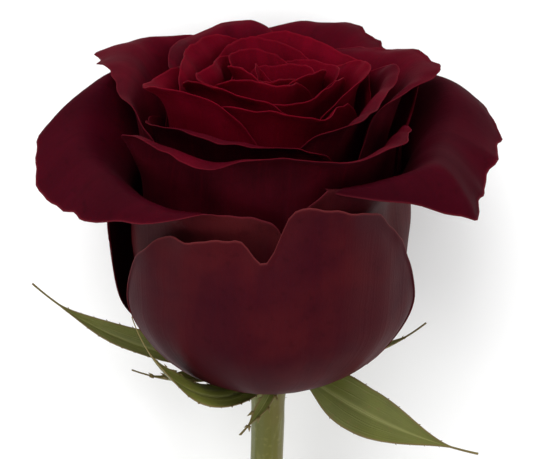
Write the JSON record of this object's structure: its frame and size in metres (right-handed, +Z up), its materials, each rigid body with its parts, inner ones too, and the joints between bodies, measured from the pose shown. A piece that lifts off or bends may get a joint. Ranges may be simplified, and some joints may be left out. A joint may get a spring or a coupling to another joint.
{
  "type": "cut rose",
  "caption": "A single dark red rose bloom with its sepals, on a stem cut short, lying on its side.",
  "frame": {"origin": "middle of the lowest face of the whole rose as it lies: the surface it rests on is z = 0", "axes": "+Y along the lying stem towards the bloom, +Z up, +X to the right of the bloom"},
  "size_m": [0.0832, 0.1732, 0.0612],
  "materials": {
    "petal": "velvety",
    "sepal": "matte",
    "stem": "satin"
  },
  "bodies": {
    "root": {"stem": "stem", "sepal_left": "sepal", "sepal_front_left": "sepal", "sepal_front": "sepal", "sepal_right": "sepal", "sepal_back": "sepal", "bract_left": "sepal", "petal_01": "petal", "petal_02": "petal", "petal_03": "petal", "petal_04": "petal", "petal_05": "petal", "petal_06": "petal", "petal_07": "petal", "petal_08": "petal", "petal_09": "petal", "petal_10": "petal", "petal_11": "petal", "petal_12": "petal", "petal_13": "petal", "petal_14": "petal", "petal_15": "petal", "petal_16": "petal", "petal_17": "petal", "petal_18": "petal", "petal_19": "petal", "petal_20": "petal", "petal_21": "petal", "petal_22": "petal", "petal_23": "petal", "petal_24": "petal", "petal_25": "petal", "petal_26": "petal", "petal_27": "petal", "petal_28": "petal", "petal_29": "petal"}
  },
  "joints": []
}
